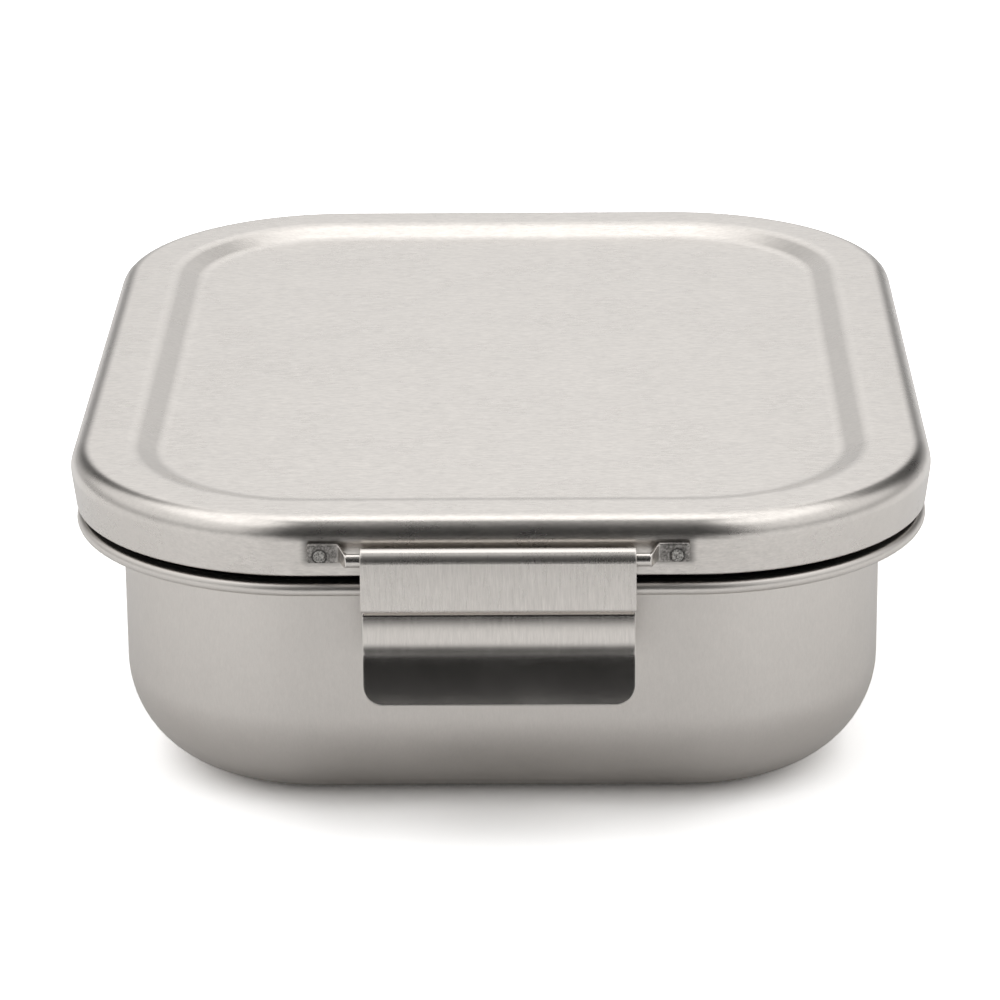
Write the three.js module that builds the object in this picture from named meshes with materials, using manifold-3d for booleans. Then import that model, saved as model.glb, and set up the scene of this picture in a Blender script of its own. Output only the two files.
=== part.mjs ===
// A pressed-steel lunch box: a deep-drawn tub with a rolled rim, a stamped lid with a silicone seal,
// and a folded clip at each end that swings on a wire spot-welded to the lid's skirt.
// Millimetres. +X is across the box, +Y runs along it, +Z is up. The origin is the middle of the base.

import * as THREE from "three";
import { mergeVertices } from "three/addons/utils/BufferGeometryUtils.js";
import Module from "manifold-3d";

const wasm = await Module();
wasm.setup();

// Plan of the box. Every ring is this outline, moved inwards by an inset.
const WIDTH = 160;
const DEPTH = 200;
const LID_CORNER = 45.5;
const CORNER_STATIONS = 9;
const ARC_STEPS = 5;
const SMALL_ARC_STEPS = 3;

// Sheet metal.
const SHEET = 0.6;
const CLIP_SHEET = 0.5;
const CONTACT_GAP = 0.03;

// Tub.
const TUB_INSET = 9.4;
const TUB_FILLET = 20;
const FLANGE_TOP = 49.2;
const FLANGE_BEND = 1.5;
const BEAD_INSET = 0.8;
const BEAD_RADIUS = 1.3;

// Lid.
const LID_TOP = 61.5;
const SKIRT_BOTTOM = 50.6;
const SKIRT_TAPER = 0.8;
const SHOULDER_RADIUS = 3.8;
const HEM_RADIUS = 0.65;
const HEM_HEIGHT = 2.2;
const RECESS_INSET = 11.5;
const RECESS_SLOPE_WIDTH = 5.2;
const RECESS_DEPTH = 2;

// Seal: a C section, open towards the middle of the box.
const SEAL_OUTER_INSET = 3.3;
const SEAL_INNER_INSET = 7.3;
const SEAL_WEB = 2;
const SEAL_LIP = 1.7;
const SEAL_CORNER = 2.6;

// Hinge wire: round where the clip turns on it, then joggled in to the skirt and up, and flattened to a pad.
// OUT is measured outwards from the top of the lid's skirt, where the lid is widest.
const HINGE_OUT = 3.3;
const HINGE_Z = 55.2;
const WIRE_RADIUS = 1.2;
const WIRE_SPAN = 53.6;
const WIRE_SIDES = 20;
const ROUND_EXPONENT = 2;
const PAD_EXPONENT = 7;
const JOGGLE_LENGTH = 1.8;
const PAD_LENGTH = 5.4;
const PAD_HEIGHT = 3.5;
const PAD_RISE = 0.5;
const PAD_THICKNESS = 1.2;
const PAD_END_LENGTH = 0.4;
const PAD_END_SHARE = 0.85;
const WELD_RADIUS = 1.1;
const WELD_HEIGHT = 0.2;
const WELD_FROM_END = 2.3;
const WELD_SIDES = 16;

// Clip: one sheet, rolled round the wire, folded in under the bead and flared out as a finger tab.
const CLIP_WIDTH = 48.8;
const TAB_WIDTH = 48.6;
const TAB_CORNER = 3.7;
const ROLL_RADIUS = 2;
const ROLL_START_DEG = 310;
const FOLD_Z = 45.85;
const FOLD_RADIUS = 0.7;
const CATCH_TIP_OUT = -3.3;
const CATCH_TIP_RADIUS = 0.5;
const CATCH_RETURN_DEG = -10;
const TAB_TOP_OUT = 1.9;
const TAB_BEND_RADIUS = 3.5;
const TAB_FLARE_RADIUS = 19.6;
const TAB_FLARE_DEG = 40;

const steel = (name, color, roughness) => {
  const material = new THREE.MeshStandardMaterial({ color, roughness, metalness: 1 });
  material.name = name;
  return material;
};
const MATERIALS = {
  tub: steel("satin_steel", 0xc6c4c0, 0.34),
  lid: steel("brushed_steel", 0xd0cecb, 0.32),
  clip: steel("clip_steel", 0xcbcac8, 0.24),
  wire: steel("wire_steel", 0xbfbebb, 0.3),
  weld: steel("weld_steel", 0x9a9894, 0.6),
  seal: new THREE.MeshStandardMaterial({ color: 0x1b1b1c, roughness: 0.62, metalness: 0 }),
};

const rad = THREE.MathUtils.degToRad;

// ---------------------------------------------------------------- solids

/** A geometry as a manifold solid, with shared vertices merged and collapsed triangles dropped. */
function solidOf(geometry) {
  const bare = geometry.clone();
  bare.deleteAttribute("normal");
  bare.deleteAttribute("uv");
  const merged = mergeVertices(bare, 1e-4);
  const triangles = [];
  for (let i = 0; i < merged.index.count; i += 3) {
    const [a, b, c] = [0, 1, 2].map((k) => merged.index.getX(i + k));
    if (a !== b && b !== c && c !== a) triangles.push(a, b, c);
  }
  return new wasm.Manifold(
    new wasm.Mesh({
      numProp: 3,
      vertProperties: merged.getAttribute("position").array,
      triVerts: new Uint32Array(triangles),
    }),
  );
}

function geometryOf(solid) {
  const mesh = solid.getMesh();
  const geometry = new THREE.BufferGeometry();
  geometry.setAttribute("position", new THREE.BufferAttribute(mesh.vertProperties, 3));
  geometry.setIndex(new THREE.BufferAttribute(mesh.triVerts, 1));
  geometry.computeVertexNormals();
  return geometry;
}

function named(name, geometry, material) {
  const mesh = new THREE.Mesh(geometry, material);
  mesh.name = name;
  return mesh;
}

// ---------------------------------------------------------------- rings

/** A point of the plan outline moved inwards by inset; an infinite inset is the middle of the plan. */
function outlinePoint(inset, station) {
  if (!Number.isFinite(inset)) return [0, 0];
  const quarter = Math.floor(station / CORNER_STATIONS) % 4;
  const turn = (station % CORNER_STATIONS) / (CORNER_STATIONS - 1);
  const angle = ((quarter + turn) * Math.PI) / 2;
  const sideX = quarter === 0 || quarter === 3 ? 1 : -1;
  const sideY = quarter < 2 ? 1 : -1;
  const radius = LID_CORNER - inset;
  return [
    sideX * (WIDTH / 2 - LID_CORNER) + radius * Math.cos(angle),
    sideY * (DEPTH / 2 - LID_CORNER) + radius * Math.sin(angle),
  ];
}

/** Sweeps a section of (outwards, up) points round the plan, as a lathe stretched to the outline. */
function sweepRound(section) {
  const segments = 4 * CORNER_STATIONS;
  const lathe = new THREE.LatheGeometry(
    section.map((p) => new THREE.Vector2(1, p.y)),
    segments,
  );
  const position = lathe.getAttribute("position");
  for (let i = 0; i < position.count; i += 1) {
    const corner = section[i % section.length];
    const station = Math.floor(i / section.length) % segments;
    const [x, y] = outlinePoint(-corner.x, station);
    position.setXYZ(i, x, y, corner.y);
  }
  return geometryOf(solidOf(lathe));
}

/** Points of an arc about (x, z), from one angle to another in degrees. */
function arc(x, z, radius, fromDeg, toDeg, steps = ARC_STEPS) {
  const clockwise = toDeg < fromDeg;
  return new THREE.EllipseCurve(x, z, radius, radius, rad(fromDeg), rad(toDeg), clockwise).getPoints(steps);
}

const point = (x, z) => new THREE.Vector2(x, z);
const middleAt = (z) => point(-Infinity, z);

// ---------------------------------------------------------------- tub

/** Floor, fillet, wall, flange and rolled bead, out along the outside and back along the inside. */
function tubGeometry() {
  const wall = -TUB_INSET;
  const filletX = wall - TUB_FILLET;
  const flangeBottom = FLANGE_TOP - SHEET;
  const beadX = -BEAD_INSET - BEAD_RADIUS;
  const beadZ = FLANGE_TOP - BEAD_RADIUS;
  const beadMeetsFlange = THREE.MathUtils.radToDeg(Math.acos((flangeBottom - beadZ) / BEAD_RADIUS)) + 90;
  return sweepRound([
    middleAt(0),
    ...arc(filletX, TUB_FILLET, TUB_FILLET, 270, 360),
    ...arc(wall + FLANGE_BEND, flangeBottom - FLANGE_BEND, FLANGE_BEND, 180, 90, SMALL_ARC_STEPS),
    ...arc(beadX, beadZ, BEAD_RADIUS, beadMeetsFlange, 450, 2 * ARC_STEPS),
    ...arc(wall + FLANGE_BEND, flangeBottom - FLANGE_BEND, FLANGE_BEND + SHEET, 90, 180, SMALL_ARC_STEPS),
    ...arc(filletX, TUB_FILLET, TUB_FILLET - SHEET, 360, 270),
    middleAt(SHEET),
  ]);
}

// ---------------------------------------------------------------- lid

/** Recessed panel, margin, shoulder, skirt and inward hem, then back along the underside. */
function lidGeometry() {
  const panelX = -RECESS_INSET - RECESS_SLOPE_WIDTH;
  const panelZ = LID_TOP - RECESS_DEPTH;
  const shoulderX = -SHOULDER_RADIUS;
  const shoulderZ = LID_TOP - SHOULDER_RADIUS;
  const hemX = -SKIRT_TAPER - HEM_RADIUS;
  const hemZ = SKIRT_BOTTOM + HEM_RADIUS;
  return sweepRound([
    middleAt(panelZ - SHEET),
    point(panelX, panelZ - SHEET),
    point(-RECESS_INSET, LID_TOP - SHEET),
    ...arc(shoulderX, shoulderZ, SHOULDER_RADIUS - SHEET, 90, 0),
    point(-SKIRT_TAPER - SHEET, hemZ + HEM_HEIGHT),
    ...arc(hemX, hemZ, HEM_RADIUS, 180, 360, 2 * SMALL_ARC_STEPS),
    ...arc(shoulderX, shoulderZ, SHOULDER_RADIUS, 0, 90),
    point(-RECESS_INSET, LID_TOP),
    point(panelX, panelZ),
    middleAt(panelZ),
  ]);
}

/** C-section ring that fills the height between the flange and the lid's margin. */
function sealGeometry() {
  const outerX = -SEAL_OUTER_INSET;
  const innerX = -SEAL_INNER_INSET;
  const webX = outerX - SEAL_WEB;
  const bottom = FLANGE_TOP + CONTACT_GAP;
  const top = LID_TOP - SHEET - CONTACT_GAP;
  const section = [
    point(innerX, bottom),
    point(outerX, bottom),
    ...arc(outerX - SEAL_CORNER, top - SEAL_CORNER, SEAL_CORNER, 0, 90, SMALL_ARC_STEPS),
    point(innerX, top),
    point(innerX, top - SEAL_LIP),
    point(webX, top - SEAL_LIP),
    point(webX, bottom + SEAL_LIP),
    point(innerX, bottom + SEAL_LIP),
    point(innerX, bottom),
  ];
  return sweepRound(section);
}

// ---------------------------------------------------------------- folded strips

/** The closed outline of a strip of even thickness whose middle line runs through the points. */
function stripShape(middleLine, thickness) {
  const line = middleLine.filter((p, i) => i === 0 || p.distanceTo(middleLine[i - 1]) > 1e-3);
  const side = (sign) =>
    line.map((p, i) => {
      const before = line[Math.max(i - 1, 0)];
      const after = line[Math.min(i + 1, line.length - 1)];
      const into = p.clone().sub(before).normalize();
      const out = after.clone().sub(p).normalize();
      const along = into.clone().add(out).normalize();
      const bend = i === 0 || i === line.length - 1 ? 1 : along.dot(out);
      const offset = (sign * thickness) / 2 / bend;
      return point(p.x - along.y * offset, p.y + along.x * offset);
    });
  return new THREE.Shape([...side(1), ...side(-1).reverse()]);
}

function extruded(shape, depth) {
  const geometry = new THREE.ExtrudeGeometry(shape, { depth, bevelEnabled: false, curveSegments: 1 });
  return geometry.translate(0, 0, -depth / 2);
}

// ---------------------------------------------------------------- hinge wire and welds

/** One half of the wire as sections, from the span's end outwards: round, joggled in, then a flat pad. */
function wireStations() {
  const spanEnd = WIRE_SPAN / 2;
  const padStart = spanEnd + JOGGLE_LENGTH;
  const padEnd = padStart + PAD_LENGTH;
  const padOut = PAD_THICKNESS / 2 + CONTACT_GAP;
  const between = THREE.MathUtils.lerp;
  const flattened = (share) => {
    const ease = THREE.MathUtils.smoothstep(share, 0, 1);
    return {
      x: between(spanEnd, padStart, share),
      out: between(HINGE_OUT, padOut, ease),
      rise: PAD_RISE * ease,
      halfThickness: between(WIRE_RADIUS, PAD_THICKNESS / 2, share),
      halfHeight: between(WIRE_RADIUS, PAD_HEIGHT / 2, share * share),
      exponent: between(ROUND_EXPONENT, PAD_EXPONENT, share),
    };
  };
  const joggle = Array.from({ length: ARC_STEPS + 1 }, (_, k) => flattened(k / ARC_STEPS));
  const pad = flattened(1);
  const tip = {
    ...pad,
    x: padEnd,
    halfThickness: pad.halfThickness * PAD_END_SHARE,
    halfHeight: pad.halfHeight * PAD_END_SHARE,
  };
  return [...joggle, { ...pad, x: padEnd - PAD_END_LENGTH }, tip];
}

/** Wire in its own frame: x across, y outwards from the skirt, z up from the hinge line. */
function wireGeometry() {
  const half = wireStations();
  const mirrored = half.map((section) => ({ ...section, x: -section.x })).reverse();
  const stations = [...mirrored, ...half];
  const ends = [stations[0], stations[stations.length - 1]];
  const rows = [ends[0], ...stations, ends[1]];
  const isEnd = (row) => row === 0 || row === rows.length - 1;
  const lathe = new THREE.LatheGeometry(
    rows.map((section, row) => new THREE.Vector2(isEnd(row) ? 0 : 1, section.x)),
    WIRE_SIDES,
  );
  const position = lathe.getAttribute("position");
  const swell = (value, exponent) => Math.sign(value) * Math.abs(value) ** (2 / exponent);
  for (let i = 0; i < position.count; i += 1) {
    const row = i % rows.length;
    const turn = ((Math.floor(i / rows.length) % WIRE_SIDES) * 2 * Math.PI) / WIRE_SIDES;
    const { x, out, rise, halfThickness, halfHeight, exponent } = rows[row];
    const reach = isEnd(row) ? 0 : 1;
    const y = out + reach * halfThickness * swell(Math.cos(turn), exponent);
    const z = rise + reach * halfHeight * swell(Math.sin(turn), exponent);
    position.setXYZ(i, x, y, z);
  }
  return geometryOf(solidOf(lathe));
}

const WELD_X = WIRE_SPAN / 2 + JOGGLE_LENGTH + PAD_LENGTH - WELD_FROM_END;

/** The low nugget left by a spot weld, standing on the pad's outer face. */
function weldGeometry() {
  const base = PAD_THICKNESS + 2 * CONTACT_GAP;
  const profile = [
    point(0, 0),
    point(WELD_RADIUS, 0),
    point(WELD_RADIUS * 0.8, WELD_HEIGHT * 0.8),
    point(0, WELD_HEIGHT),
  ];
  return new THREE.LatheGeometry(profile, WELD_SIDES).translate(0, base, 0);
}

// ---------------------------------------------------------------- clip

/** Middle line of the clip in (outwards, height): roll, plate, catch and flared tab. */
function clipMiddleLine() {
  const plateX = HINGE_OUT + ROLL_RADIUS;
  const catchZ = FOLD_Z + CLIP_SHEET / 2;
  const fold = arc(plateX - FOLD_RADIUS, catchZ + FOLD_RADIUS, FOLD_RADIUS, 0, -90, SMALL_ARC_STEPS);
  const tip = arc(
    CATCH_TIP_OUT,
    catchZ - CATCH_TIP_RADIUS,
    CATCH_TIP_RADIUS,
    90,
    270 + CATCH_RETURN_DEG,
    ARC_STEPS,
  );
  const tipEnd = tip[tip.length - 1];
  const back = rad(CATCH_RETURN_DEG);
  const bendX = TAB_TOP_OUT - TAB_BEND_RADIUS;
  const bendStartX = bendX - TAB_BEND_RADIUS * Math.sin(back);
  const bendStartZ = tipEnd.y + (bendStartX - tipEnd.x) * Math.tan(back);
  const bendZ = bendStartZ - TAB_BEND_RADIUS * Math.cos(back);
  const bend = arc(bendX, bendZ, TAB_BEND_RADIUS, 90 + CATCH_RETURN_DEG, 0);
  const flareX = TAB_TOP_OUT + TAB_FLARE_RADIUS;
  return [
    ...arc(HINGE_OUT, HINGE_Z, ROLL_RADIUS, ROLL_START_DEG, 0, 3 * ARC_STEPS),
    ...fold,
    ...tip,
    ...bend,
    ...arc(flareX, bendZ, TAB_FLARE_RADIUS, 180, 180 + TAB_FLARE_DEG, 2 * ARC_STEPS),
  ];
}

/** The clip's front outline, as a solid that reaches through the folded sheet along Y. */
function clipCutter(lowest) {
  const path = new THREE.Shape();
  path.moveTo(0, lowest);
  path.lineTo(TAB_WIDTH / 2 - TAB_CORNER, lowest);
  path.absarc(TAB_WIDTH / 2 - TAB_CORNER, lowest + TAB_CORNER, TAB_CORNER, -Math.PI / 2, 0, false);
  path.lineTo(TAB_WIDTH / 2, FOLD_Z - 1);
  path.lineTo(CLIP_WIDTH / 2, FOLD_Z);
  path.lineTo(CLIP_WIDTH / 2, LID_TOP);
  path.lineTo(0, LID_TOP);
  const right = path.getPoints(ARC_STEPS);
  const left = right.map((p) => point(-p.x, p.y)).reverse();
  return extruded(new THREE.Shape([...right, ...left]), 8 * TAB_FLARE_RADIUS).rotateX(Math.PI / 2);
}

/** Clip in a frame whose y is outwards from the skirt and whose z is the row's height. */
function clipGeometry() {
  const line = clipMiddleLine();
  const lowest = Math.min(...line.map((p) => p.y)) - CLIP_SHEET / 2;
  const strip = extruded(stripShape(line, CLIP_SHEET), CLIP_WIDTH);
  // the extrusion's (x, y, z) becomes (outwards, height, across)
  strip.rotateY(-Math.PI / 2).rotateX(Math.PI / 2).rotateZ(Math.PI);
  return geometryOf(solidOf(strip).intersect(solidOf(clipCutter(lowest))));
}

// ---------------------------------------------------------------- assembly

/** The clip, wire and welds of one end. The group's y is outwards, so the front end is turned round. */
function endFittings(end, turn) {
  const group = new THREE.Group();
  group.rotation.z = turn;
  const frame = new THREE.Group();
  frame.position.y = DEPTH / 2;
  group.add(frame);

  frame.add(named(`${end}_clip`, clipGeometry(), MATERIALS.clip));

  const wire = named(`${end}_hinge_wire`, wireGeometry(), MATERIALS.wire);
  wire.position.z = HINGE_Z;
  frame.add(wire);

  const sideOfBox = { left: -1, right: 1 };
  for (const [side, sign] of Object.entries(sideOfBox)) {
    const weld = named(`${end}_${side}_weld`, weldGeometry(), MATERIALS.weld);
    const across = turn === 0 ? sign : -sign;
    weld.position.set(across * WELD_X, 0, HINGE_Z);
    frame.add(weld);
  }
  return group;
}

const lunchBox = new THREE.Group();
lunchBox.name = "lunch_box";
lunchBox.add(
  named("tub", tubGeometry(), MATERIALS.tub),
  named("lid", lidGeometry(), MATERIALS.lid),
  named("seal", sealGeometry(), MATERIALS.seal),
  endFittings("front", Math.PI),
  endFittings("rear", 0),
);

export default lunchBox;
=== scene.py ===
"""Looks of the steel lunch box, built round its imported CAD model. Metres, +Z up, in the model's frame.

Each sheet-metal piece is the middle surface of its sheet, thickened by a Solidify modifier. Tub, lid and
seal are sections swept round the plan outline, clips are folded strips, and hinge wires are lofted bars.
OUT is measured outwards from the top of the lid's skirt at the front or rear end.
"""

import math

import bpy
from mathutils import Matrix, Vector, noise


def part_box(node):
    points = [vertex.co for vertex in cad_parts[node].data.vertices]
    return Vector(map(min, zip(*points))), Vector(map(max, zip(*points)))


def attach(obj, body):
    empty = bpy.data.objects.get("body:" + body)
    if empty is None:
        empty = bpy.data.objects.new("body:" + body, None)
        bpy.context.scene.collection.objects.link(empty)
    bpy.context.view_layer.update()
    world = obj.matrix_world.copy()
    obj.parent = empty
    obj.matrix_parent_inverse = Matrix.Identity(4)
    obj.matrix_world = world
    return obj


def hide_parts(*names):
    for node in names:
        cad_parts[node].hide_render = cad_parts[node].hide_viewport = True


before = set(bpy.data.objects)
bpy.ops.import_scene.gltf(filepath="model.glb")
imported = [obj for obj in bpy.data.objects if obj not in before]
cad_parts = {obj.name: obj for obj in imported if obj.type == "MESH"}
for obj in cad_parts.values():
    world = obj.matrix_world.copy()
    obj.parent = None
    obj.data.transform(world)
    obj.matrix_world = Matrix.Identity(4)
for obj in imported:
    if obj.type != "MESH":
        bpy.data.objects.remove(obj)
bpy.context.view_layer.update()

MM = 0.001

# ------------------------------------------------------------------ sizes, from the frame where it has them

LID_LOW, LID_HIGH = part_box("lid")
TUB_LOW, TUB_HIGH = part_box("tub")
SEAL_LOW, SEAL_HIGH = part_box("seal")
CLIP_LOW, CLIP_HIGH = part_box("rear_clip")
WIRE_LOW, WIRE_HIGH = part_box("rear_hinge_wire")
WELD_LOW, WELD_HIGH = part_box("rear_right_weld")

HALF_WIDTH = LID_HIGH.x
HALF_DEPTH = LID_HIGH.y
LID_CORNER = 45.5 * MM
CORNER_STEPS = 28

# A sheet's section starts this far inside the outline, and one face fills the middle.
MIDDLE_INSET = 50 * MM
# Flat stretch beside a bend, so that the bend's shading doesn't spread over the flat.
BEND_RUN = 4 * MM

SHEET = 0.6 * MM
TUB_INSET = 9.4 * MM
TUB_FILLET = 20 * MM
FLANGE_TOP = TUB_HIGH.z
FLANGE_BEND = 1.5 * MM
BEAD_INSET = HALF_WIDTH - TUB_HIGH.x
BEAD_RADIUS = 1.3 * MM
BEAD_RUN = 1.5 * MM

LID_TOP = LID_HIGH.z
SKIRT_BOTTOM = LID_LOW.z
SKIRT_TAPER = 0.8 * MM
SHOULDER_RADIUS = 3.8 * MM
HEM_RADIUS = 0.65 * MM
HEM_HEIGHT = 2.2 * MM
RECESS_INSET = 11.5 * MM
RECESS_SLOPE_WIDTH = 5.2 * MM
RECESS_DEPTH = 2 * MM
RECESS_BEND = 7 * MM

SEAL_WIDTH = 4 * MM
SEAL_WEB = 2 * MM
SEAL_LIP = 1.7 * MM
SEAL_CROWN = 2.6 * MM
SEAL_FOOT = 0.5 * MM
SEAL_HOLLOW = 1 * MM

WIRE_RADIUS = 1.2 * MM
HINGE_OUT = WIRE_HIGH.y - HALF_DEPTH - WIRE_RADIUS
HINGE_Z = (WELD_LOW.z + WELD_HIGH.z) / 2
PAD_GAP = WIRE_LOW.y - HALF_DEPTH
PAD_END = WIRE_HIGH.x
PAD_LENGTH = 5.4 * MM
PAD_ROUND = 0.5 * MM
PAD_Z = (WIRE_LOW.z + WIRE_HIGH.z) / 2
PAD_HALF_HEIGHT = (WIRE_HIGH.z - WIRE_LOW.z) / 2
PAD_HALF_THICKNESS = 0.6 * MM
JOGGLE_LENGTH = 1.8 * MM
WELD_X = (WELD_LOW.x + WELD_HIGH.x) / 2
WELD_RADIUS = (WELD_HIGH.x - WELD_LOW.x) / 2
WELD_BASE = WELD_LOW.y - HALF_DEPTH
WELD_HEIGHT = WELD_HIGH.y - WELD_LOW.y

# Angles of the clip are in degrees.
CLIP_SHEET = 0.5 * MM
CLIP_EDGE_ROUND = 0.2 * MM
CLIP_HALF_WIDTH = CLIP_HIGH.x
TAB_HALF_WIDTH = 24.3 * MM
TAB_CORNER = 3.7 * MM
ROLL_RADIUS = 2 * MM
ROLL_START = 310
PLATE_ROW = 3 * MM
FOLD_Z = 45.85 * MM
FOLD_RADIUS = 0.7 * MM
CATCH_TIP_OUT = -3.3 * MM
CATCH_TIP_RADIUS = 0.5 * MM
CATCH_RETURN = -3
TAB_TOP_OUT = 1.9 * MM
TAB_BEND_RADIUS = 1.2 * MM
TAB_LEAN = 6.5
TAB_LEAN_RADIUS = 34 * MM
TAB_FLARE_RADIUS = 16.8 * MM
TAB_FLARE = 42


# ------------------------------------------------------------------ mesh tools

SMALLEST_CORNER = 0.3 * MM
EASE_SEGMENTS = 3
EASE_ANGLE = math.radians(60)
NORMAL_WEIGHT = 80


def arc(x, z, radius, start, end, steps):
    """Points of an arc about (x, z), from one angle to another in degrees."""
    turns = [math.radians(start + (end - start) * k / steps) for k in range(steps + 1)]
    return [(x + radius * math.cos(t), z + radius * math.sin(t)) for t in turns]


def mix(start, end, share):
    """The number that lies at share between start and end."""
    return start + (end - start) * share


def mesh_object(name, points, faces, smooth=True):
    mesh = bpy.data.meshes.new(name)
    mesh.from_pydata(points, [], faces)
    mesh.validate()
    for polygon in mesh.polygons:
        polygon.use_smooth = smooth
    piece = bpy.data.objects.new(name, mesh)
    bpy.context.scene.collection.objects.link(piece)
    return piece


def grid_faces(rows, columns, wrap_rows=False, wrap_columns=False):
    """Quads between neighbouring points of a grid that is stored row by row."""
    faces = []
    for r in range(rows if wrap_rows else rows - 1):
        a, b = r * columns, (r + 1) % rows * columns
        for c in range(columns if wrap_columns else columns - 1):
            d = (c + 1) % columns
            faces.append((a + c, a + d, b + d, b + c))
    return faces


def outline(inset):
    """The plan outline moved inwards by inset, as points anticlockwise from +X."""
    radius = max(LID_CORNER - inset, SMALLEST_CORNER)
    across = HALF_WIDTH - inset - radius
    along = HALF_DEPTH - inset - radius
    points = []
    for quarter, (side_x, side_y) in enumerate(((1, 1), (-1, 1), (-1, -1), (1, -1))):
        for step in range(CORNER_STEPS + 1):
            turn = (quarter + step / CORNER_STEPS) * math.pi / 2
            x = side_x * across + radius * math.cos(turn)
            y = side_y * along + radius * math.sin(turn)
            points.append((x, y))
    return points


def sweep_round(name, section, closed=False):
    """Sweeps (out, height) points round the plan. An open section is closed in its middle by one face."""
    rings = [[(x, y, z) for x, y in outline(-out)] for out, z in section]
    count = len(rings[0])
    faces = grid_faces(len(rings), count, wrap_rows=closed, wrap_columns=True)
    if not closed:
        faces.append(tuple(reversed(range(count))))
    return mesh_object(name, [p for ring in rings for p in ring], faces)


def thicken(piece, thickness, edge_round=0.0):
    """Gives a middle surface its sheet thickness, eases its cut edges and evens its normals."""
    solid = piece.modifiers.new("sheet", "SOLIDIFY")
    solid.thickness = thickness
    solid.offset = 0
    solid.use_even_offset = True
    if edge_round:
        ease = piece.modifiers.new("eased_edges", "BEVEL")
        ease.width = edge_round
        ease.segments = EASE_SEGMENTS
        ease.limit_method = "ANGLE"
        ease.angle_limit = EASE_ANGLE
    even_normals(piece)


def even_normals(piece):
    modifier = piece.modifiers.new("even_normals", "WEIGHTED_NORMAL")
    modifier.keep_sharp = False
    modifier.weight = NORMAL_WEIGHT


def add_piece(piece, material, body, node):
    """Gives a finished piece its material, its body and the CAD node it stands for."""
    piece.data.materials.append(material)
    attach(piece, body)
    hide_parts(node)


# ------------------------------------------------------------------ shader tools


class Shader:
    """Short calls that add nodes to a material or world tree and link them."""

    def __init__(self, tree):
        self.tree = tree
        self.tree.nodes.clear()

    def node(self, kind, **settings):
        made = self.tree.nodes.new(kind)
        for key, value in settings.items():
            setattr(made, key, value)
        return made

    def put(self, socket, value):
        """Links value to the socket if it is an output, and otherwise sets it."""
        if isinstance(value, bpy.types.NodeSocket):
            self.tree.links.new(value, socket)
        else:
            socket.default_value = value

    def math(self, operation, *values):
        made = self.node("ShaderNodeMath", operation=operation)
        for socket, value in zip(made.inputs, values):
            self.put(socket, value)
        return made.outputs[0]

    def vector(self, operation, *values):
        made = self.node("ShaderNodeVectorMath", operation=operation)
        for socket, value in zip(made.inputs, values):
            self.put(socket, value)
        return made.outputs["Value" if operation == "DOT_PRODUCT" else "Vector"]

    def scaled(self, color, factor):
        """A colour or vector multiplied by a number."""
        made = self.node("ShaderNodeVectorMath", operation="SCALE")
        self.put(made.inputs[0], color)
        self.put(made.inputs["Scale"], factor)
        return made.outputs["Vector"]

    def parts(self, vector):
        made = self.node("ShaderNodeSeparateXYZ")
        self.put(made.inputs[0], vector)
        return made.outputs[0], made.outputs[1], made.outputs[2]

    def noise(self, coordinates, scale, detail=2.0, roughness=0.5):
        """Noise of about 0 to 1. scale is a number, or one number for each axis, in cycles per metre."""
        if not isinstance(scale, tuple):
            scale = (scale,) * 3
        made = self.node("ShaderNodeTexNoise")
        self.put(made.inputs["Vector"], self.vector("MULTIPLY", coordinates, scale))
        self.put(made.inputs["Scale"], 1.0)
        self.put(made.inputs["Detail"], detail)
        self.put(made.inputs["Roughness"], roughness)
        return made.outputs["Fac"]

    def hypotenuse(self, first, second):
        square = self.math("ADD", self.math("POWER", first, 2.0), self.math("POWER", second, 2.0))
        return self.math("SQRT", square)

    def swing(self, value, amount):
        """A 0 to 1 value turned into plus or minus half of amount."""
        return self.math("MULTIPLY", self.math("SUBTRACT", value, 0.5), amount)

    def ramp(self, value, low, high, to_low=0.0, to_high=1.0):
        """Maps low..high to to_low..to_high with soft ends."""
        made = self.node("ShaderNodeMapRange", interpolation_type="SMOOTHSTEP")
        for socket, number in zip(made.inputs, (value, low, high, to_low, to_high)):
            self.put(socket, number)
        return made.outputs["Result"]

    def between(self, value, low, high, soft):
        """1 from low to high and 0 outside, with soft edges."""
        rise = self.ramp(value, low - soft, low + soft)
        fall = self.ramp(value, high - soft, high + soft, 1.0, 0.0)
        return self.math("MULTIPLY", rise, fall)

    def blend(self, share, start, end):
        """A number that goes from start to end as share goes from 0 to 1."""
        made = self.node("ShaderNodeMix", data_type="FLOAT")
        self.put(made.inputs[0], share)
        self.put(made.inputs[2], start)
        self.put(made.inputs[3], end)
        return made.outputs[0]

    def turned(self, vector, source, target):
        """A direction given in one space, in another space."""
        made = self.node("ShaderNodeVectorTransform", vector_type="VECTOR")
        made.convert_from = source
        made.convert_to = target
        self.put(made.inputs[0], vector)
        return made.outputs[0]

    def bump(self, height, distance):
        made = self.node("ShaderNodeBump")
        self.put(made.inputs["Height"], height)
        self.put(made.inputs["Distance"], distance)
        return made.outputs["Normal"]

    def principled(self, **values):
        """A Principled surface with the named inputs, underscores standing for spaces."""
        shader = self.node("ShaderNodeBsdfPrincipled")
        for key, value in values.items():
            self.put(shader.inputs[key.replace("_", " ")], value)
        self.finish(shader)

    def finish(self, shader, output="ShaderNodeOutputMaterial"):
        self.put(self.node(output).inputs["Surface"], shader.outputs[0])


def new_material(name):
    """A material, the tool that fills it, and the object's own coordinates."""
    material = bpy.data.materials.new(name)
    material.use_nodes = True
    s = Shader(material.node_tree)
    return material, s, s.node("ShaderNodeTexCoord").outputs["Object"]


# ------------------------------------------------------------------ materials

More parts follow.
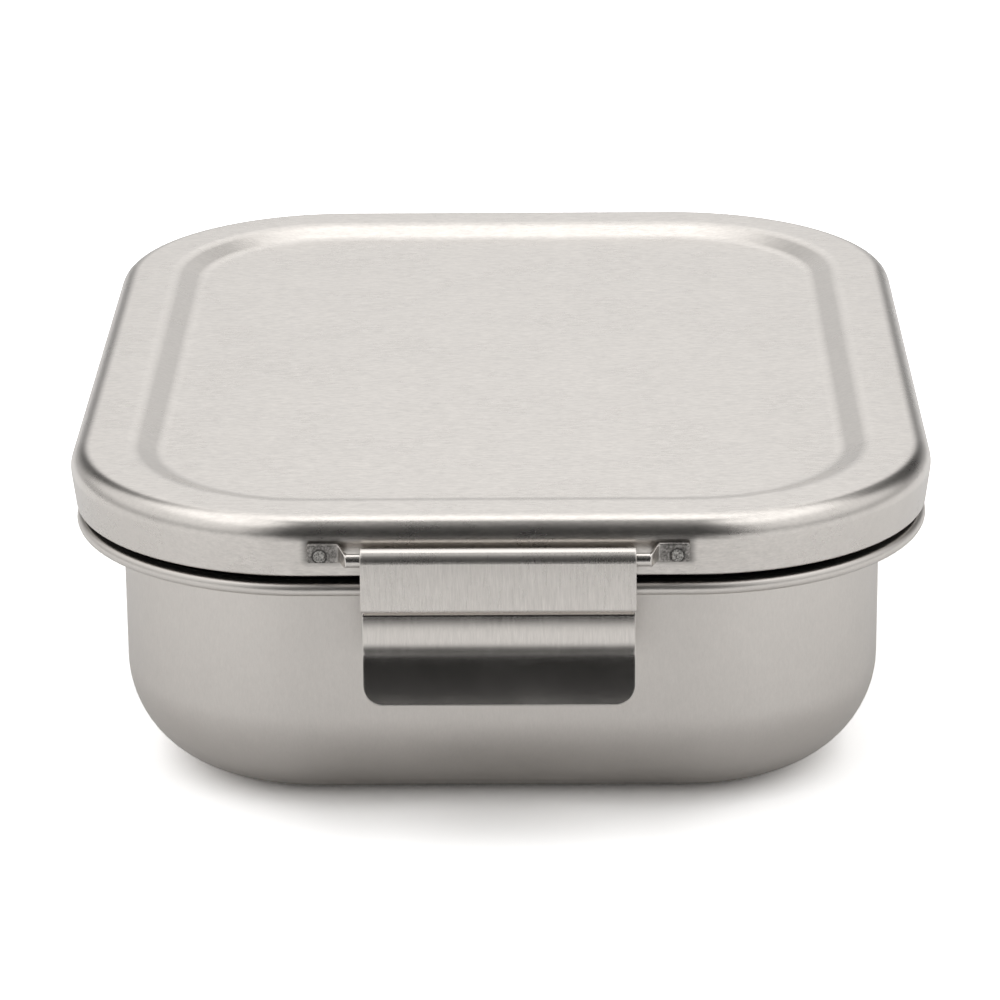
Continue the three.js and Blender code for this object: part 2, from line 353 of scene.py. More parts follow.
STEEL = (0.645, 0.612, 0.577)
STEEL_DULL = (0.47, 0.455, 0.43)
SILICONE_BLACK = (0.002, 0.002, 0.002, 1)
AXES = {"X": (1, 0, 0), "Z": (0, 0, 1)}

# Patterns' scales are in cycles per metre.
HAIR_FINENESS = 2.3
HAIR_SHARE = 0.7
CLOUD_SCALE = 90.0
CLOUD_ROUGHNESS = 0.06
MOTTLE_SCALE = 420.0
MOTTLE_SHARE = 0.5

# The halo of heat stain and painted shade fades in between these distances inside the face of the skirt.
HALO_DEPTHS = (5 * MM, 3 * MM)
HALO_WIDTH = 1.6 * MM
HALO_SHADE = 0.35
HALO_THINNEST = 0.7

PAD_DULL_INNER = 2.2 * WELD_RADIUS
PAD_DULL_OUTER = 4.2 * WELD_RADIUS
PAD_SHADE = 0.26
PAD_ROUGHNESS = 0.45
WELD_RING_INNER = 0.9 * WELD_RADIUS
WELD_RING_OUTER = 1.3 * WELD_RADIUS
WELD_RING_SOFT = 0.15 * WELD_RADIUS
WELD_RING_SHADE = 0.35
WIRE_ROUGHNESS = 0.24
WIRE_LINES = (300.0, 3500.0, 3500.0)
WIRE_STREAK = 0.3
WIRE_PITS = 2200.0
WIRE_RELIEF = 0.05 * MM

WELD_GRAINS = 2600.0
WELD_PITS = 3600.0
WELD_ROUGHNESS = 0.38
WELD_RELIEF = 0.07 * MM

SILICONE_SKIN = 2500.0
SILICONE_ROUGHNESS = 0.55
SILICONE_RELIEF = 0.01 * MM

# Where the brushing points straight out of the surface it has no direction across, so it gets this one.
SPARE_TANGENT = (0.003, 0.002, 0.001)


def brush_frame(s, axis):
    """The direction across the brushing, along which a highlight spreads, and how clearly streaks show:
    fully where the surface runs along the brushing, and not at all where it faces along it."""
    normal = s.node("ShaderNodeNewGeometry").outputs["Normal"]
    brushing = s.turned(axis, "OBJECT", "WORLD")
    across = s.vector("CROSS_PRODUCT", normal, brushing)
    facing = s.math("ABSOLUTE", s.vector("DOT_PRODUCT", normal, brushing))
    return s.vector("ADD", across, SPARE_TANGENT), s.math("SUBTRACT", 1.0, facing)


def pad_halo(s, coordinates):
    """1 on the lid's skirt close to the welded pads of the wires, fading out a little way round them: where
    heat stain and painted shade go.
    """
    x, y, z = s.parts(coordinates)
    pad_middle, pad_half = PAD_END - PAD_LENGTH / 2, PAD_LENGTH / 2
    from_middle = s.math("ABSOLUTE", s.math("SUBTRACT", s.math("ABSOLUTE", x), pad_middle))
    beside = s.math("MAXIMUM", s.math("SUBTRACT", from_middle, pad_half), 0.0)
    from_line = s.math("ABSOLUTE", s.math("SUBTRACT", z, PAD_Z))
    above = s.math("MAXIMUM", s.math("SUBTRACT", from_line, PAD_HALF_HEIGHT), 0.0)
    near = s.ramp(s.hypotenuse(beside, above), 0.0, HALO_WIDTH, 1.0, 0.0)
    on_skirt = s.ramp(s.math("ABSOLUTE", y), *(HALF_DEPTH - depth for depth in HALO_DEPTHS))
    return s.math("MULTIPLY", near, on_skirt)


def heat_stain_and_painted_shade(s, shade, coordinates, mottle):
    """The shade, darkened in patches round the welded pads: partly heat stain, partly painted shade where the
    pads shadow the skirt.
    """
    patches = s.ramp(mottle, 0.25, 0.75, to_low=HALO_THINNEST)
    darkening = s.math("MULTIPLY", pad_halo(s, coordinates), patches)
    return s.math("MULTIPLY", shade, s.blend(darkening, 1.0, HALO_SHADE))


def streaks(s, coordinates, axis, across, along, detail):
    """Noise that is drawn out along an axis. across and along are its cycles per metre."""
    scale = tuple(along if a else across for a in axis)
    return s.noise(coordinates, scale, detail=detail, roughness=0.65)


def brushed_steel(name, brush, across, along, roughness, anisotropy, streak, cloud, rough_streak):
    """Steel brushed along an axis: streaks in shade and gloss over slow cloudiness.

    across and along are the streaks' cycles per metre. roughness is a pair, below the height of the clip's
    fold and above it. streak and cloud are the changes in shade, and rough_streak is that in roughness.
    """
    material, s, coordinates = new_material(name)
    axis = AXES[brush]
    grain = streaks(s, coordinates, axis, across, along, detail=3.0)
    hairs = streaks(s, coordinates, axis, across * HAIR_FINENESS, along * HAIR_FINENESS, detail=1.0)
    clouds = s.noise(coordinates, CLOUD_SCALE, detail=3.0, roughness=0.6)
    mottle = s.noise(coordinates, MOTTLE_SCALE)
    tangent, clearness = brush_frame(s, axis)

    lines = s.math("ADD", s.swing(grain, streak), s.swing(hairs, streak * HAIR_SHARE))
    shade = s.math("ADD", 1.0, s.math("MULTIPLY", lines, clearness))
    shade = s.math("ADD", shade, s.swing(clouds, cloud))
    shade = s.math("ADD", shade, s.swing(mottle, cloud * MOTTLE_SHARE))
    # Patches of heat stain and painted shade round the pads.
    shade = heat_stain_and_painted_shade(s, shade, coordinates, mottle)

    above_fold = s.ramp(s.parts(coordinates)[2], FOLD_Z - CLIP_SHEET, FOLD_Z + CLIP_SHEET)
    rough = s.blend(above_fold, *roughness)
    rough = s.math("ADD", rough, s.swing(grain, rough_streak))
    rough = s.math("ADD", rough, s.swing(clouds, CLOUD_ROUGHNESS))
    s.principled(
        Base_Color=s.scaled(STEEL, shade),
        Metallic=1.0,
        Roughness=rough,
        Anisotropic=anisotropy,
        Tangent=tangent,
    )
    return material


def wire_steel(name):
    """Drawn wire with fine lengthwise lines, and dull, pitted, heat-stained pads round the welds."""
    material, s, coordinates = new_material(name)
    x, _, z = s.parts(coordinates)
    from_weld = s.math("SUBTRACT", s.math("ABSOLUTE", x), WELD_X)
    distance = s.hypotenuse(from_weld, s.math("SUBTRACT", z, HINGE_Z))
    dulled = s.ramp(distance, PAD_DULL_INNER, PAD_DULL_OUTER, 1.0, 0.0)
    ring = s.between(distance, WELD_RING_INNER, WELD_RING_OUTER, WELD_RING_SOFT)

    lines = s.noise(coordinates, WIRE_LINES)
    pits = s.noise(coordinates, WIRE_PITS, detail=3.0, roughness=0.7)
    darkening = s.math("MULTIPLY", dulled, s.ramp(pits, 0.32, 0.62, to_low=0.45))
    shade = s.math("ADD", 1.0, s.swing(lines, WIRE_STREAK))
    shade = s.math("MULTIPLY", shade, s.blend(darkening, 1.0, PAD_SHADE))
    shade = s.math("MULTIPLY", shade, s.blend(ring, 1.0, WELD_RING_SHADE))
    height = s.math("ADD", s.math("MULTIPLY", lines, 0.25), s.math("MULTIPLY", pits, dulled))
    s.principled(
        Base_Color=s.scaled(STEEL, shade),
        Metallic=1.0,
        Roughness=s.blend(dulled, WIRE_ROUGHNESS, PAD_ROUGHNESS),
        Normal=s.bump(height, WIRE_RELIEF),
    )
    return material


def weld_metal(name):
    """Dull, pitted steel that was melted: bright grains in a dark skin."""
    material, s, coordinates = new_material(name)
    grains = s.node("ShaderNodeTexVoronoi")
    s.put(grains.inputs["Vector"], coordinates)
    s.put(grains.inputs["Scale"], WELD_GRAINS)
    grain = grains.outputs["Distance"]
    pits = s.noise(coordinates, WELD_PITS, detail=3.0, roughness=0.65)
    bright = s.ramp(s.math("ADD", s.swing(grain, 0.7), pits), 0.25, 0.75, 0.35, 1.1)
    s.principled(
        Base_Color=s.scaled(STEEL_DULL, bright),
        Metallic=1.0,
        Roughness=WELD_ROUGHNESS,
        Normal=s.bump(s.math("ADD", pits, grain), WELD_RELIEF),
    )
    return material


def silicone(name):
    """Matt black silicone with a fine moulded skin."""
    material, s, coordinates = new_material(name)
    skin = s.noise(coordinates, SILICONE_SKIN, detail=3.0)
    s.principled(
        Base_Color=SILICONE_BLACK,
        Roughness=s.math("ADD", SILICONE_ROUGHNESS, s.swing(skin, 0.2)),
        Specular_IOR_Level=0.04,
        Normal=s.bump(skin, SILICONE_RELIEF),
    )
    return material


TUB_STEEL = brushed_steel(
    "tub_steel",
    brush="Z",
    across=2400.0,
    along=700.0,
    roughness=(0.36, 0.36),
    anisotropy=0.3,
    streak=0.12,
    cloud=0.08,
    rough_streak=0.03,
)
LID_STEEL = brushed_steel(
    "lid_steel",
    brush="X",
    across=1500.0,
    along=380.0,
    roughness=(0.28, 0.28),
    anisotropy=0.35,
    streak=0.40,
    cloud=0.12,
    rough_streak=0.02,
)
CLIP_STEEL = brushed_steel(
    "clip_steel",
    brush="Z",
    across=2300.0,
    along=200.0,
    roughness=(0.20, 0.28),
    anisotropy=0.5,
    streak=0.36,
    cloud=0.05,
    rough_streak=0.06,
)
WIRE_STEEL = wire_steel("wire_steel")
WELD_STEEL = weld_metal("weld_steel")
SEAL_SILICONE = silicone("seal_silicone")


# ------------------------------------------------------------------ tub, lid and seal


def build_tub():
    """Flat base, fillet, wall, flange and the bead rolled under its edge."""
    half = SHEET / 2
    wall = -TUB_INSET
    fillet_x = wall - TUB_FILLET
    bend_z = FLANGE_TOP - SHEET - FLANGE_BEND
    bead_x = -BEAD_INSET - BEAD_RADIUS
    section = [
        (-MIDDLE_INSET, half),
        (fillet_x - BEND_RUN, half),
        *arc(fillet_x, TUB_FILLET, TUB_FILLET - half, 270, 360, 20),
        (wall - half, (TUB_FILLET + bend_z) / 2),
        *arc(wall + FLANGE_BEND, bend_z, FLANGE_BEND + half, 180, 90, 10),
        (bead_x - BEAD_RUN, FLANGE_TOP - half),
        *arc(bead_x, FLANGE_TOP - BEAD_RADIUS, BEAD_RADIUS - half, 90, -165, 22),
    ]
    piece = sweep_round("tub_shell", section)
    thicken(piece, SHEET)
    add_piece(piece, TUB_STEEL, "tub", "tub")


def recess_section():
    """The sloping edge of the lid's panel, with an eased bend at its foot and at its crest."""
    half = SHEET / 2
    slope = math.degrees(math.atan2(RECESS_DEPTH, RECESS_SLOPE_WIDTH))
    ease = RECESS_BEND * math.tan(math.radians(slope) / 2)
    foot_x = -RECESS_INSET - RECESS_SLOPE_WIDTH - ease
    crest_x = -RECESS_INSET + ease
    panel_z = LID_TOP - RECESS_DEPTH - half
    margin_z = LID_TOP - half
    return [
        *arc(foot_x, panel_z + RECESS_BEND, RECESS_BEND, 270, 270 + slope, 6),
        *arc(crest_x, margin_z - RECESS_BEND, RECESS_BEND, 90 + slope, 90, 6),
    ]


def build_lid():
    """Recessed panel, margin, shoulder, a skirt that tapers in, and its hem turned inwards."""
    half = SHEET / 2
    hem_x = -SKIRT_TAPER - HEM_RADIUS
    hem_z = SKIRT_BOTTOM + HEM_RADIUS
    lean = SKIRT_TAPER / (LID_TOP - SHOULDER_RADIUS - hem_z)
    lean_turn = math.degrees(math.atan(lean))
    panel_z = LID_TOP - RECESS_DEPTH - half
    section = [
        (-MIDDLE_INSET, panel_z),
        (-RECESS_INSET - RECESS_SLOPE_WIDTH - BEND_RUN, panel_z),
        *recess_section(),
        (-(SHOULDER_RADIUS + RECESS_INSET) / 2, LID_TOP - half),
        *arc(-SHOULDER_RADIUS, LID_TOP - SHOULDER_RADIUS, SHOULDER_RADIUS - half, 90, -lean_turn, 16),
        *arc(hem_x, hem_z, HEM_RADIUS - half, -lean_turn, -180 - lean_turn, 10),
        (hem_x - HEM_RADIUS + half + lean * HEM_HEIGHT, hem_z + HEM_HEIGHT),
    ]
    piece = sweep_round("lid_shell", section)
    thicken(piece, SHEET)
    add_piece(piece, LID_STEEL, "lid", "lid")


def build_seal():
    """C section open inwards, with a round bead along each lip."""
    outer = SEAL_HIGH.x - HALF_WIDTH
    lip_x = outer - SEAL_WIDTH + SEAL_LIP / 2
    hollow_x = outer - SEAL_WEB - SEAL_HOLLOW
    top, bottom = SEAL_HIGH.z, SEAL_LOW.z
    section = [
        *arc(lip_x, bottom + SEAL_LIP / 2, SEAL_LIP / 2, 90, 270, 10),
        *arc(outer - SEAL_FOOT, bottom + SEAL_FOOT, SEAL_FOOT, 270, 360, 5),
        *arc(outer - SEAL_CROWN, top - SEAL_CROWN, SEAL_CROWN, 0, 90, 10),
        *arc(lip_x, top - SEAL_LIP / 2, SEAL_LIP / 2, 90, 270, 10),
        *arc(hollow_x, top - SEAL_LIP - SEAL_HOLLOW, SEAL_HOLLOW, 90, 0, 6),
        *arc(hollow_x, bottom + SEAL_LIP + SEAL_HOLLOW, SEAL_HOLLOW, 0, -90, 6),
    ]
    piece = sweep_round("seal_ring", section, closed=True)
    even_normals(piece)
    add_piece(piece, SEAL_SILICONE, "lid", "seal")


# ------------------------------------------------------------------ clips

CORNER_CELLS = 8
MIDDLE_CELLS = 18
TAB_ROWS = 26


def clip_bends():
    """Middle line of the clip above its flared tab, as (out, height) points.

    Gives the points from the roll to the fold, those from the catch's tip to the tab's upper part, and the
    height where the flare starts.
    """
    plate = HINGE_OUT + ROLL_RADIUS
    catch_z = FOLD_Z + CLIP_SHEET / 2
    upper = [
        *arc(HINGE_OUT, HINGE_Z, ROLL_RADIUS, ROLL_START, 0, 32),
        (plate, HINGE_Z - PLATE_ROW),
        (plate, HINGE_Z - 2 * PLATE_ROW),
        *arc(plate - FOLD_RADIUS, catch_z + FOLD_RADIUS, FOLD_RADIUS, 0, -90, 8),
    ]
    tip = arc(CATCH_TIP_OUT, catch_z - CATCH_TIP_RADIUS, CATCH_TIP_RADIUS, 90, 270 + CATCH_RETURN, 10)
    back, lean = math.radians(CATCH_RETURN), math.radians(TAB_LEAN)
    lean_x = TAB_TOP_OUT - TAB_LEAN_RADIUS
    bend_x = lean_x + (TAB_LEAN_RADIUS - TAB_BEND_RADIUS) * math.cos(lean)
    start_x = bend_x - TAB_BEND_RADIUS * math.sin(back)
    start_z = tip[-1][1] + (start_x - tip[-1][0]) * math.tan(back)
    bend_z = start_z - TAB_BEND_RADIUS * math.cos(back)
    lean_z = bend_z - (TAB_LEAN_RADIUS - TAB_BEND_RADIUS) * math.sin(lean)
    lower = [
        *tip,
        *arc(bend_x, bend_z, TAB_BEND_RADIUS, 90 + CATCH_RETURN, TAB_LEAN, 12),
        *arc(lean_x, lean_z, TAB_LEAN_RADIUS, TAB_LEAN, 0, 8)[1:],
    ]
    return upper, lower, lean_z


def tab_point(run, top_z):
    """A point of the flared tab, run along its sheet from where the flare starts."""
    turn = run / TAB_FLARE_RADIUS
    out = TAB_TOP_OUT + TAB_FLARE_RADIUS * (1 - math.cos(turn))
    return out, top_z - TAB_FLARE_RADIUS * math.sin(turn)


def flare_length():
    """Length of the flared sheet down to where its corners begin to round."""
    return math.radians(TAB_FLARE) * TAB_FLARE_RADIUS - TAB_CORNER


def clip_columns(half_width):
    """Places across the clip: even cells in the middle and a block of TAB_CORNER's width at each side."""
    middle = half_width - TAB_CORNER
    side = [middle + TAB_CORNER * k / CORNER_CELLS for k in range(1, CORNER_CELLS + 1)]
    centre = [middle * (2 * k / MIDDLE_CELLS - 1) for k in range(MIDDLE_CELLS + 1)]
    return [-x for x in reversed(side)] + centre + side


def tab_end_row(share, top_z):
    """A row of the tab's last stretch, where a quarter disc at each side rounds the corner."""
    start = flare_length()
    middle = TAB_HALF_WIDTH - TAB_CORNER
    row = []
    for across in clip_columns(TAB_HALF_WIDTH):
        side_share = max(0.0, (abs(across) - middle) / TAB_CORNER)
        run = start + TAB_CORNER * share * math.sqrt(1 - side_share**2 / 2)
        if side_share > 0:
            across = math.copysign(middle + TAB_CORNER * side_share * math.sqrt(1 - share**2 / 2), across)
        row.append((across, *tab_point(run, top_z)))
    return row


def clip_rows():
    """The clip's middle surface as rows of (across, out, height) points, from the roll to the tab's end."""
    upper, lower, top_z = clip_bends()
    rows = [[(x, out, z) for x in clip_columns(CLIP_HALF_WIDTH)] for out, z in upper]
    tab = [tab_point(flare_length() * k / TAB_ROWS, top_z) for k in range(1, TAB_ROWS + 1)]
    rows += [[(x, out, z) for x in clip_columns(TAB_HALF_WIDTH)] for out, z in lower + tab]
    rows += [tab_end_row(k / CORNER_CELLS, top_z) for k in range(1, CORNER_CELLS + 1)]
    return rows


def build_clip(end, sign):
    """The clip of one end, folded from a single sheet."""
    rows = clip_rows()
    points = [(x * sign, sign * (HALF_DEPTH + out), z) for row in rows for x, out, z in row]
    clip = mesh_object(f"{end}_clip_sheet", points, grid_faces(len(rows), len(rows[0])))
    thicken(clip, CLIP_SHEET, edge_round=CLIP_EDGE_ROUND)
    add_piece(clip, CLIP_STEEL, f"{end}_clip", f"{end}_clip")


# ------------------------------------------------------------------ hinge wires and welds

WIRE_SIDES = 40
ROUND_EXPONENT = 2
PAD_EXPONENT = 7
SPAN_STEPS = 4
JOGGLE_STEPS = 20
PAD_STEPS = 5
PAD_END_STEPS = 8

# The nugget's shape. Places are shares of its radius, and heights are shares of its height.
NUGGET_RINGS = 12
NUGGET_SIDES = 48
NUGGET_MIDDLE = 0.5
NUGGET_RIM = 0.72
NUGGET_RIM_WIDTH = 0.16
NUGGET_EDGE = 0.8
NUGGET_LOWEST = 0.02
PIT_DEPTH = 0.4
PITS_PER_MM = 1.9
SEED_STEP = 7.0


def wire_stations():
    """Half of the wire, from its middle outwards, as the numbers that wire_ring takes with x before them.

    The sides are flat soon after the joggle begins, as those of a pressed wire are.
    """
    pad_start = PAD_END - PAD_LENGTH
    span_end = pad_start - JOGGLE_LENGTH
    pad_out = PAD_HALF_THICKNESS + PAD_GAP
    round_wire = (HINGE_OUT, HINGE_Z, WIRE_RADIUS, WIRE_RADIUS, ROUND_EXPONENT)
    stations = [(span_end * k / SPAN_STEPS, *round_wire) for k in range(1, SPAN_STEPS)]
    for k in range(JOGGLE_STEPS + 1):
        share = k / JOGGLE_STEPS
        ease = share * share * (3 - 2 * share)
        middle = mix(HINGE_OUT, pad_out, ease), mix(HINGE_Z, PAD_Z, ease)
        thickness = mix(WIRE_RADIUS, PAD_HALF_THICKNESS, share)
        height = mix(WIRE_RADIUS, PAD_HALF_HEIGHT, share**2)
        exponent = mix(ROUND_EXPONENT, PAD_EXPONENT, math.sqrt(share))
        stations.append((mix(span_end, pad_start, share), *middle, thickness, height, exponent))
    flat_end = PAD_END - PAD_ROUND
    for k in range(1, PAD_STEPS + 1):
        x = mix(pad_start, flat_end, k / PAD_STEPS)
        stations.append((x, pad_out, PAD_Z, PAD_HALF_THICKNESS, PAD_HALF_HEIGHT, PAD_EXPONENT))
    for k in range(1, PAD_END_STEPS + 1):
        turn = math.pi / 2 * k / PAD_END_STEPS
        shrink = PAD_ROUND * (1 - math.cos(turn))
        x = flat_end + PAD_ROUND * math.sin(turn)
        thickness, height = PAD_HALF_THICKNESS - shrink, PAD_HALF_HEIGHT - shrink
        stations.append((x, pad_out, PAD_Z, thickness, height, PAD_EXPONENT))
    return stations


def wire_ring(out, middle, thickness, height, exponent):
    """(out, height) points round the wire, whose middle is at out and middle. The last three numbers are half
    its thickness, half its height and how square it is: a circle at 2 and squarer above that."""

    def swell(value):
        return math.copysign(abs(value) ** (2 / exponent), value)

    turns = [2 * math.pi * k / WIRE_SIDES for k in range(WIRE_SIDES)]
    return [(out + thickness * swell(math.cos(t)), middle + height * swell(math.sin(t))) for t in turns]


def build_wire(end, sign):
    """The hinge wire of one end, with both ends joggled in and flattened to pads."""
    half = wire_stations()
    stations = [(-x, *rest) for x, *rest in reversed(half)] + half
    points = []
    for x, *ring in stations:
        points += [(x * sign, sign * (HALF_DEPTH + out), z) for out, z in wire_ring(*ring)]
    faces = grid_faces(len(stations), WIRE_SIDES, wrap_columns=True)
    first_ring = range(WIRE_SIDES)
    last_ring = range(len(points) - WIRE_SIDES, len(points))
    faces += [tuple(reversed(first_ring)), tuple(last_ring)]
    wire = mesh_object(f"{end}_wire_bar", points, faces)
    even_normals(wire)
    add_piece(wire, WIRE_STEEL, "lid", f"{end}_hinge_wire")


def build_weld(end, sign, side, way):
    """A low, pitted nugget with a raised rim, standing on the pad."""
    seed = Vector((0, 0, (sign * 2 + way) * SEED_STEP))
    points = []
    for r in range(1, NUGGET_RINGS + 1):
        share = r / NUGGET_RINGS
        rim = math.exp(-(((share - NUGGET_RIM) / NUGGET_RIM_WIDTH) ** 2))
        height = mix(NUGGET_MIDDLE, 1, rim)
        fall = 1 - max(0.0, (share - NUGGET_EDGE) / (1 - NUGGET_EDGE)) ** 2
        for k in range(NUGGET_SIDES):
            turn = 2 * math.pi * k / NUGGET_SIDES
            x = sign * share * WELD_RADIUS * math.cos(turn)
            z = share * WELD_RADIUS * math.sin(turn)
            pit = noise.noise(Vector((x, z, 0)) / MM * PITS_PER_MM + seed) * PIT_DEPTH
            lift = WELD_HEIGHT * min(1.0, max(NUGGET_LOWEST, (height + pit) * fall))
            points.append((way * WELD_X + x, sign * (HALF_DEPTH + WELD_BASE + lift), HINGE_Z + z))
    faces = grid_faces(NUGGET_RINGS, NUGGET_SIDES, wrap_columns=True)
    faces.append(tuple(reversed(range(NUGGET_SIDES))))
    piece = mesh_object(f"{end}_{side}_nugget", points, faces)
    add_piece(piece, WELD_STEEL, "lid", f"{end}_{side}_weld")


# ------------------------------------------------------------------ floor, light and camera

# Brightness of the paper as the camera sees it, and as reflections see it near the object and far from it.
# The lower level near the object is a painted shadow.
FLOOR_SIZE = 6.0
FLOOR_BRIGHT = 2.0
FLOOR_NEAR_SHADOWED = 0.84
FLOOR_FAR = 1.0
FLOOR_NEAR_REACH = 1.2 * HALF_DEPTH
FLOOR_FAR_REACH = 2.4 * HALF_DEPTH

# Where reflections see the dark room past the paper's near end. Distances are from the object's middle.
SHADE_START = -0.30
SHADE_START_SOFT = 0.05
SHADE_HALF_WIDTH = 0.14
SHADE_SIDE_SOFT = 0.06
SHADE_LEVEL = 0.05

# The room's levels of light. Pairs of angles are in degrees: azimuths to the right of straight ahead of the
# camera, or to either side of it for the walls and the dark end, and elevations above the horizon.
WALL_RISE = (7.0, 26.0)
WALL_LEVELS = (0.85, 1.55)
WALL_SIDES = (1.0, 16.0)
WALL_SIDE_SHARE = 0.80
CEILING_RISE = (40.0, 60.0)
CEILING_LEVEL = 0.85
ZENITH_RISE = (78.0, 88.0)
ZENITH_LEVEL = 1.5
LEFT_FLAG = (-44.0, -18.0)
RIGHT_FLAG = (18.0, 60.0)
FLAG_HEIGHTS = (11.0, 50.0)
FLAG_SOFT = 6.0
FLAG_LEVEL = 0.03
DARK_END_SIDES = (142.0, 166.0)
DARK_END_HEIGHTS = (-20.0, 83.0)
DARK_END_SOFT = 4.0
DARK_END_LEVEL = 0.02

# The dark patch of ceiling above the object. Its reach ahead and to each side is part of a unit direction.
OVERHEAD_RISE = (76.0, 80.0)
OVERHEAD_AHEAD = (0.04, 0.12)
OVERHEAD_ASIDE = (0.10, 0.24)
OVERHEAD_LEVEL = 0.02


def rig_axes(s):
    """Level directions away from the camera and to its right, so that the lights turn with the camera."""
    forward = s.turned((0.0, 0.0, 1.0), "CAMERA", "WORLD")
    upward = s.turned((0.0, 1.0, 0.0), "CAMERA", "WORLD")
    level = s.vector("MULTIPLY", s.vector("ADD", forward, upward), (1.0, 1.0, 0.0))
    ahead = s.vector("NORMALIZE", level)
    return ahead, s.vector("CROSS_PRODUCT", ahead, (0.0, 0.0, 1.0))


def paper_color(s):
    """White for the camera. Reflections also see the dark room beyond the paper's near end, and a painted
    shadow on the paper near the object.
    """
    ahead, right = rig_axes(s)
    place = s.node("ShaderNodeNewGeometry").outputs["Position"]
    away = s.vector("DOT_PRODUCT", place, ahead)
    aside = s.math("ABSOLUTE", s.vector("DOT_PRODUCT", place, right))
    beyond = s.ramp(away, SHADE_START - SHADE_START_SOFT, SHADE_START + SHADE_START_SOFT, 1.0, 0.0)
    middle = s.ramp(aside, SHADE_HALF_WIDTH - SHADE_SIDE_SOFT, SHADE_HALF_WIDTH + SHADE_SIDE_SOFT, 1.0, 0.0)
    # Painted shadow: reflections see the paper darker near the object.
    pale = s.ramp(s.hypotenuse(away, aside), FLOOR_NEAR_REACH, FLOOR_FAR_REACH, FLOOR_NEAR_SHADOWED, FLOOR_FAR)
    reflected = s.blend(s.math("MULTIPLY", beyond, middle), pale, SHADE_LEVEL)
    seen = s.node("ShaderNodeLightPath").outputs["Is Camera Ray"]
    return s.scaled((1.0, 1.0, 1.0), s.blend(seen, reflected, FLOOR_BRIGHT))


def build_floor():
    """Pale paper under the object."""
    corners = [(-1, -1), (1, -1), (1, 1), (-1, 1)]
    points = [(x * FLOOR_SIZE, y * FLOOR_SIZE, 0) for x, y in corners]
    floor = mesh_object("floor", points, [(0, 1, 2, 3)], smooth=False)
    material, s, _ = new_material("floor_paper")
    shader = s.node("ShaderNodeBsdfDiffuse")
    s.put(shader.inputs["Color"], paper_color(s))
    s.finish(shader)
    floor.data.materials.append(material)


def pale_room(s, turn, elevation):
    """The level of the walls, which are paler higher up and straight ahead, and of the ceiling."""
    height = s.ramp(elevation, *WALL_RISE, *WALL_LEVELS)
    wall = s.math("MULTIPLY", height, s.ramp(turn, *WALL_SIDES, 1.0, WALL_SIDE_SHARE))
    return s.math("ADD", wall, s.ramp(elevation, *CEILING_RISE, 0.0, CEILING_LEVEL))


def side_flags(s, azimuth, elevation):
    """1 on the two dark flags that stand beyond the object, to its left and right."""
    left = s.between(azimuth, *LEFT_FLAG, FLAG_SOFT)
    right = s.between(azimuth, *RIGHT_FLAG, FLAG_SOFT)
    return s.math("MULTIPLY", s.math("ADD", left, right), s.between(elevation, *FLAG_HEIGHTS, FLAG_SOFT))


def dark_end(s, turn, elevation):
    """1 on the dark end of the room behind the camera."""
    height = s.between(elevation, *DARK_END_HEIGHTS, DARK_END_SOFT)
    return s.math("MULTIPLY", s.ramp(turn, *DARK_END_SIDES), height)


def overhead_patch(s, elevation, away, aside):
    """1 on the dark patch of ceiling above the object and back towards the camera."""
    length = s.ramp(away, *OVERHEAD_AHEAD, 1.0, 0.0)
    width = s.ramp(s.math("ABSOLUTE", aside), *OVERHEAD_ASIDE, 1.0, 0.0)
    patch = s.math("MULTIPLY", s.ramp(elevation, *OVERHEAD_RISE), length)
    return s.math("MULTIPLY", patch, width)


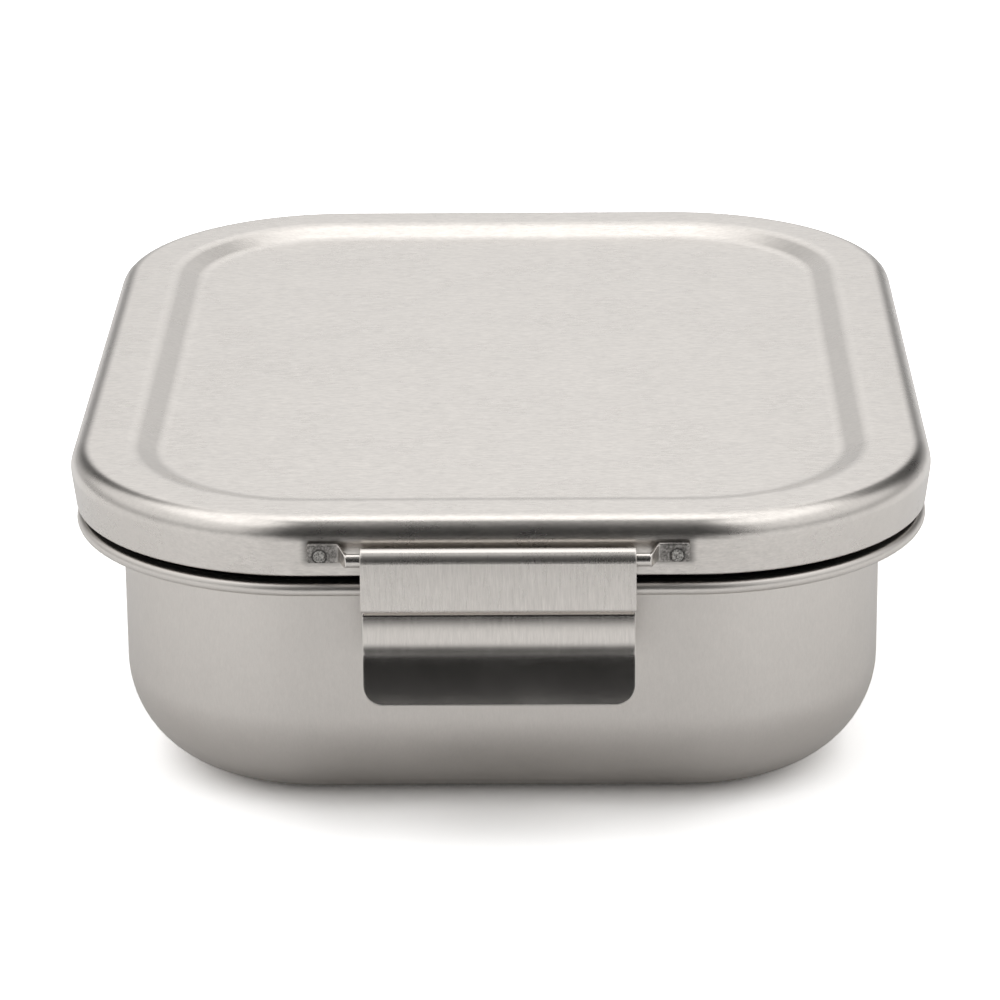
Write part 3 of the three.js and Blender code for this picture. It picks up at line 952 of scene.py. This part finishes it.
def build_room_light():
    """A pale room with a bright ceiling, two dark flags, a dark end and a dark patch overhead."""
    world = bpy.data.worlds.new("studio")
    world.use_nodes = True
    bpy.context.scene.world = world
    s = Shader(world.node_tree)
    direction = s.node("ShaderNodeTexCoord").outputs["Generated"]
    ahead, right = rig_axes(s)
    away = s.vector("DOT_PRODUCT", direction, ahead)
    aside = s.vector("DOT_PRODUCT", direction, right)
    azimuth = s.math("DEGREES", s.math("ARCTAN2", aside, away))
    turn = s.math("ABSOLUTE", azimuth)
    elevation = s.math("DEGREES", s.math("ARCSINE", s.parts(direction)[2]))

    level = pale_room(s, turn, elevation)
    level = s.blend(side_flags(s, azimuth, elevation), level, FLAG_LEVEL)
    level = s.blend(dark_end(s, turn, elevation), level, DARK_END_LEVEL)
    level = s.math("ADD", level, s.ramp(elevation, *ZENITH_RISE, 0.0, ZENITH_LEVEL))
    level = s.blend(overhead_patch(s, elevation, away, aside), level, OVERHEAD_LEVEL)

    seen = s.node("ShaderNodeLightPath").outputs["Is Camera Ray"]
    background = s.node("ShaderNodeBackground")
    s.put(background.inputs["Strength"], s.blend(seen, level, 1.0))
    s.finish(background, output="ShaderNodeOutputWorld")


# Angles of the camera are in radians, and its lens and sensor are in millimetres.
CAMERA_PITCH = 0.342
CAMERA_YAW = -0.0125
CAMERA_ROLL = 0.0085
CAMERA_DISTANCE = 0.9293
CAMERA_AIM_ACROSS = -0.87 * MM
CAMERA_AIM_UP = 28.0 * MM
CAMERA_LENS = 165.85
CAMERA_SENSOR = 36
CAMERA_CLIP_START = 0.01


def build_camera():
    """A long lens looking along +Y and down, turned a little about the object and about its own axis."""
    right = Vector((1, 0, 0))
    up = Vector((0, math.sin(CAMERA_PITCH), math.cos(CAMERA_PITCH)))
    back = right.cross(up)
    aim = right * CAMERA_AIM_ACROSS + up * CAMERA_AIM_UP
    turned_right = right * math.cos(CAMERA_ROLL) - up * math.sin(CAMERA_ROLL)
    turned_up = right * math.sin(CAMERA_ROLL) + up * math.cos(CAMERA_ROLL)
    placed = Matrix((turned_right, turned_up, back)).transposed().to_4x4()
    placed.translation = aim + back * CAMERA_DISTANCE
    camera = bpy.data.objects.new("camera", bpy.data.cameras.new("camera"))
    camera.matrix_world = Matrix.Rotation(-CAMERA_YAW, 4, "Z") @ placed
    camera.data.lens = CAMERA_LENS
    camera.data.sensor_width = CAMERA_SENSOR
    camera.data.clip_start = CAMERA_CLIP_START
    bpy.context.scene.collection.objects.link(camera)
    bpy.context.scene.camera = camera


build_tub()
build_lid()
build_seal()
for end_name, end_sign in (("front", -1), ("rear", 1)):
    build_clip(end_name, end_sign)
    build_wire(end_name, end_sign)
    for side_name, side_way in (("left", -1), ("right", 1)):
        build_weld(end_name, end_sign, side_name, side_way)
build_floor()
build_room_light()
build_camera()
bpy.context.scene.view_settings.view_transform = "Standard"
